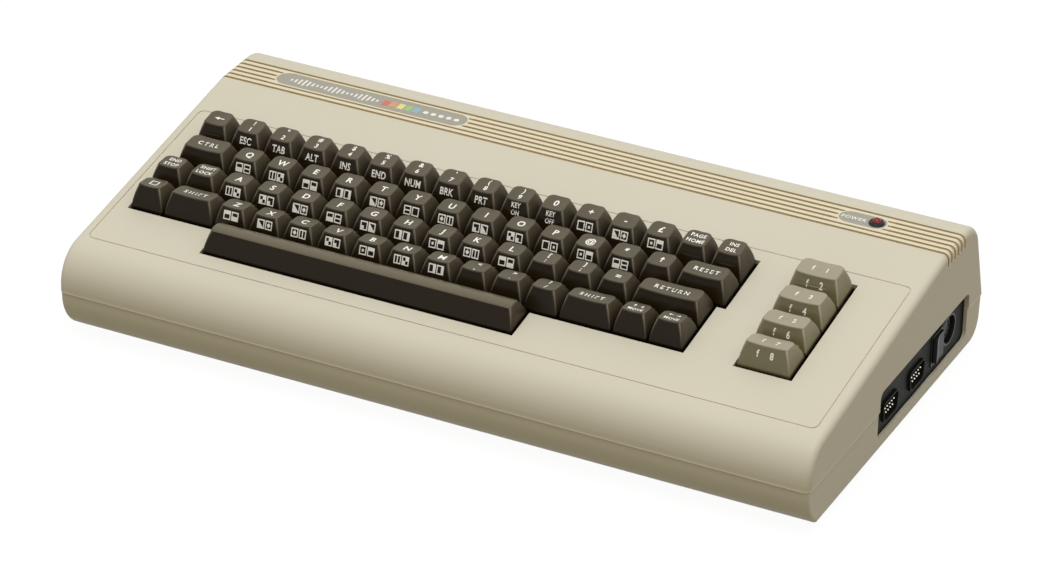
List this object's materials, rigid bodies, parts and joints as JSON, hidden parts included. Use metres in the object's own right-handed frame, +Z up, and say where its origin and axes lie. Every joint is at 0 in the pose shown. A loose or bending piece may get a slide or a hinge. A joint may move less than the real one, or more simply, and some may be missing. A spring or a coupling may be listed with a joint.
{
  "type": "home computer",
  "caption": "Beige wedge-shaped vintage home computer with brown keys, function keys, a ribbed top and side sockets.",
  "frame": {"origin": "centre of the housing's footprint at the bottom of the rubber feet", "axes": "+X towards the typist's right, along the keyboard; +Y towards the back; +Z up"},
  "size_m": [0.406, 0.216, 0.0825],
  "materials": {
    "case_plastic": "warm beige moulded ABS with a soft sheen",
    "key_plastic": "dark brown double-shot key plastic, satin",
    "function_key_plastic": "grey-olive key plastic, satin",
    "black_plastic": "black moulded plastic",
    "badge_metal": "thin pressed aluminium plate",
    "red_lens": "red moulded lens",
    "foot_rubber": "soft rubber",
    "steel": "plain steel",
    "plated_steel": "bright plated steel",
    "tinned_steel": "tinned sheet steel",
    "circuit_board": "green solder mask over glass fibre",
    "chip_plastic": "black moulded packages",
    "capacitor_sleeve": "dark blue sleeve",
    "aluminium": "extruded aluminium"
  },
  "bodies": {
    "housing": {"top_case": "case_plastic", "bottom_case": "case_plastic", "rubber_feet": "foot_rubber", "screws": "steel", "name_badge": "badge_metal", "power_badge": "badge_metal", "light_collar": "black_plastic", "power_light": "red_lens", "control_port_1": "plated_steel", "control_port_2": "plated_steel", "power_switch": "black_plastic", "power_socket": "black_plastic", "side_panel": "black_plastic", "main_board": "circuit_board", "cartridge_slot": "black_plastic", "modulator": "tinned_steel", "monitor_socket": "black_plastic", "serial_socket": "black_plastic", "screen_can": "tinned_steel", "logic_chips": "chip_plastic", "capacitors": "capacitor_sleeve", "heat_sink": "aluminium", "keyboard_frame": "black_plastic", "keyboard_board": "circuit_board"},
    "key_column_01_body": {"key_column_01": "key_plastic"},
    "key_column_02_body": {"key_column_02": "key_plastic"},
    "key_column_03_body": {"key_column_03": "key_plastic"},
    "key_column_04_body": {"key_column_04": "key_plastic"},
    "key_column_05_body": {"key_column_05": "key_plastic"},
    "key_column_06_body": {"key_column_06": "key_plastic"},
    "key_column_07_body": {"key_column_07": "key_plastic"},
    "key_column_08_body": {"key_column_08": "key_plastic"},
    "key_column_09_body": {"key_column_09": "key_plastic"},
    "key_column_10_body": {"key_column_10": "key_plastic"},
    "key_column_11_body": {"key_column_11": "key_plastic"},
    "key_column_12_body": {"key_column_12": "key_plastic"},
    "key_column_13_body": {"key_column_13": "key_plastic"},
    "top_left_key_body": {"top_left_key": "key_plastic"},
    "home_key_body": {"home_key": "key_plastic"},
    "delete_key_body": {"delete_key": "key_plastic"},
    "control_key_body": {"control_key": "key_plastic"},
    "upper_right_key_body": {"upper_right_key": "key_plastic"},
    "stop_key_body": {"stop_key": "key_plastic"},
    "shift_lock_key_body": {"shift_lock_key": "key_plastic"},
    "return_key_body": {"return_key": "key_plastic"},
    "emblem_key_body": {"emblem_key": "key_plastic"},
    "left_shift_key_body": {"left_shift_key": "key_plastic"},
    "right_shift_key_body": {"right_shift_key": "key_plastic"},
    "down_cursor_key_body": {"down_cursor_key": "key_plastic"},
    "right_cursor_key_body": {"right_cursor_key": "key_plastic"},
    "function_key_1_body": {"function_key_1": "function_key_plastic"},
    "function_key_2_body": {"function_key_2": "function_key_plastic"},
    "function_key_3_body": {"function_key_3": "function_key_plastic"},
    "function_key_4_body": {"function_key_4": "function_key_plastic"},
    "space_bar_body": {"space_bar": "key_plastic"},
    "stabilizer_wire_body": {"stabilizer_wire": "steel"},
    "power_rocker_body": {"power_rocker": "black_plastic"},
    "channel_slider_body": {"channel_slider": "black_plastic"}
  },
  "joints": [
    {"name": "key_column_01_press", "type": "slide", "parent": "housing", "child": "key_column_01_body", "axis": [0, 0.1613, -0.9869], "range_m": [0, 0.0038], "stiffness_N_per_m": 100, "springref_m": -0.003},
    {"name": "key_column_02_press", "type": "slide", "parent": "housing", "child": "key_column_02_body", "axis": [0, 0.1613, -0.9869], "range_m": [0, 0.0038], "stiffness_N_per_m": 100, "springref_m": -0.003},
    {"name": "key_column_03_press", "type": "slide", "parent": "housing", "child": "key_column_03_body", "axis": [0, 0.1613, -0.9869], "range_m": [0, 0.0038], "stiffness_N_per_m": 100, "springref_m": -0.003},
    {"name": "key_column_04_press", "type": "slide", "parent": "housing", "child": "key_column_04_body", "axis": [0, 0.1613, -0.9869], "range_m": [0, 0.0038], "stiffness_N_per_m": 100, "springref_m": -0.003},
    {"name": "key_column_05_press", "type": "slide", "parent": "housing", "child": "key_column_05_body", "axis": [0, 0.1613, -0.9869], "range_m": [0, 0.0038], "stiffness_N_per_m": 100, "springref_m": -0.003},
    {"name": "key_column_06_press", "type": "slide", "parent": "housing", "child": "key_column_06_body", "axis": [0, 0.1613, -0.9869], "range_m": [0, 0.0038], "stiffness_N_per_m": 100, "springref_m": -0.003},
    {"name": "key_column_07_press", "type": "slide", "parent": "housing", "child": "key_column_07_body", "axis": [0, 0.1613, -0.9869], "range_m": [0, 0.0038], "stiffness_N_per_m": 100, "springref_m": -0.003},
    {"name": "key_column_08_press", "type": "slide", "parent": "housing", "child": "key_column_08_body", "axis": [0, 0.1613, -0.9869], "range_m": [0, 0.0038], "stiffness_N_per_m": 100, "springref_m": -0.003},
    {"name": "key_column_09_press", "type": "slide", "parent": "housing", "child": "key_column_09_body", "axis": [0, 0.1613, -0.9869], "range_m": [0, 0.0038], "stiffness_N_per_m": 100, "springref_m": -0.003},
    {"name": "key_column_10_press", "type": "slide", "parent": "housing", "child": "key_column_10_body", "axis": [0, 0.1613, -0.9869], "range_m": [0, 0.0038], "stiffness_N_per_m": 100, "springref_m": -0.003},
    {"name": "key_column_11_press", "type": "slide", "parent": "housing", "child": "key_column_11_body", "axis": [0, 0.1613, -0.9869], "range_m": [0, 0.0038], "stiffness_N_per_m": 100, "springref_m": -0.003},
    {"name": "key_column_12_press", "type": "slide", "parent": "housing", "child": "key_column_12_body", "axis": [0, 0.1613, -0.9869], "range_m": [0, 0.0038], "stiffness_N_per_m": 100, "springref_m": -0.003},
    {"name": "key_column_13_press", "type": "slide", "parent": "housing", "child": "key_column_13_body", "axis": [0, 0.1613, -0.9869], "range_m": [0, 0.0038], "stiffness_N_per_m": 100, "springref_m": -0.003},
    {"name": "top_left_key_press", "type": "slide", "parent": "housing", "child": "top_left_key_body", "axis": [0, 0.1613, -0.9869], "range_m": [0, 0.0038], "stiffness_N_per_m": 100, "springref_m": -0.003},
    {"name": "home_key_press", "type": "slide", "parent": "housing", "child": "home_key_body", "axis": [0, 0.1613, -0.9869], "range_m": [0, 0.0038], "stiffness_N_per_m": 100, "springref_m": -0.003},
    {"name": "delete_key_press", "type": "slide", "parent": "housing", "child": "delete_key_body", "axis": [0, 0.1613, -0.9869], "range_m": [0, 0.0038], "stiffness_N_per_m": 100, "springref_m": -0.003},
    {"name": "control_key_press", "type": "slide", "parent": "housing", "child": "control_key_body", "axis": [0, 0.1613, -0.9869], "range_m": [0, 0.0038], "stiffness_N_per_m": 100, "springref_m": -0.003},
    {"name": "upper_right_key_press", "type": "slide", "parent": "housing", "child": "upper_right_key_body", "axis": [0, 0.1613, -0.9869], "range_m": [0, 0.0038], "stiffness_N_per_m": 100, "springref_m": -0.003},
    {"name": "stop_key_press", "type": "slide", "parent": "housing", "child": "stop_key_body", "axis": [0, 0.1613, -0.9869], "range_m": [0, 0.0038], "stiffness_N_per_m": 100, "springref_m": -0.003},
    {"name": "shift_lock_key_press", "type": "slide", "parent": "housing", "child": "shift_lock_key_body", "axis": [0, 0.1613, -0.9869], "range_m": [0, 0.0038], "stiffness_N_per_m": 100, "springref_m": -0.003},
    {"name": "return_key_press", "type": "slide", "parent": "housing", "child": "return_key_body", "axis": [0, 0.1613, -0.9869], "range_m": [0, 0.0038], "stiffness_N_per_m": 100, "springref_m": -0.003},
    {"name": "emblem_key_press", "type": "slide", "parent": "housing", "child": "emblem_key_body", "axis": [0, 0.1613, -0.9869], "range_m": [0, 0.0038], "stiffness_N_per_m": 100, "springref_m": -0.003},
    {"name": "left_shift_key_press", "type": "slide", "parent": "housing", "child": "left_shift_key_body", "axis": [0, 0.1613, -0.9869], "range_m": [0, 0.0038], "stiffness_N_per_m": 100, "springref_m": -0.003},
    {"name": "right_shift_key_press", "type": "slide", "parent": "housing", "child": "right_shift_key_body", "axis": [0, 0.1613, -0.9869], "range_m": [0, 0.0038], "stiffness_N_per_m": 100, "springref_m": -0.003},
    {"name": "down_cursor_key_press", "type": "slide", "parent": "housing", "child": "down_cursor_key_body", "axis": [0, 0.1613, -0.9869], "range_m": [0, 0.0038], "stiffness_N_per_m": 100, "springref_m": -0.003},
    {"name": "right_cursor_key_press", "type": "slide", "parent": "housing", "child": "right_cursor_key_body", "axis": [0, 0.1613, -0.9869], "range_m": [0, 0.0038], "stiffness_N_per_m": 100, "springref_m": -0.003},
    {"name": "function_key_1_press", "type": "slide", "parent": "housing", "child": "function_key_1_body", "axis": [0, 0.1613, -0.9869], "range_m": [0, 0.0038], "stiffness_N_per_m": 100, "springref_m": -0.003},
    {"name": "function_key_2_press", "type": "slide", "parent": "housing", "child": "function_key_2_body", "axis": [0, 0.1613, -0.9869], "range_m": [0, 0.0038], "stiffness_N_per_m": 100, "springref_m": -0.003},
    {"name": "function_key_3_press", "type": "slide", "parent": "housing", "child": "function_key_3_body", "axis": [0, 0.1613, -0.9869], "range_m": [0, 0.0038], "stiffness_N_per_m": 100, "springref_m": -0.003},
    {"name": "function_key_4_press", "type": "slide", "parent": "housing", "child": "function_key_4_body", "axis": [0, 0.1613, -0.9869], "range_m": [0, 0.0038], "stiffness_N_per_m": 100, "springref_m": -0.003},
    {"name": "space_bar_press", "type": "slide", "parent": "housing", "child": "space_bar_body", "axis": [0, 0.1613, -0.9869], "range_m": [0, 0.0038], "stiffness_N_per_m": 100, "springref_m": -0.003},
    {"name": "stabilizer_wire_turn", "type": "hinge", "parent": "housing", "child": "stabilizer_wire_body", "pos_m": [-0.05223, -0.07328, 0.04872], "axis": [-1, 0, 0], "range_deg": [0, 27.48]},
    {"name": "power_rocker_tip", "type": "hinge", "parent": "housing", "child": "power_rocker_body", "pos_m": [0.1942, 0.053, 0.022], "axis": [0, 0, 1], "range_deg": [-10, 0]},
    {"name": "channel_slide", "type": "slide", "parent": "housing", "child": "channel_slider_body", "axis": [-1, 0, 0], "range_m": [-0.0015, 0.0015]}
  ],
  "couplings": [
    {"joint": "stabilizer_wire_turn", "follows": "space_bar_press", "rad_per_m": 126.21}
  ]
}
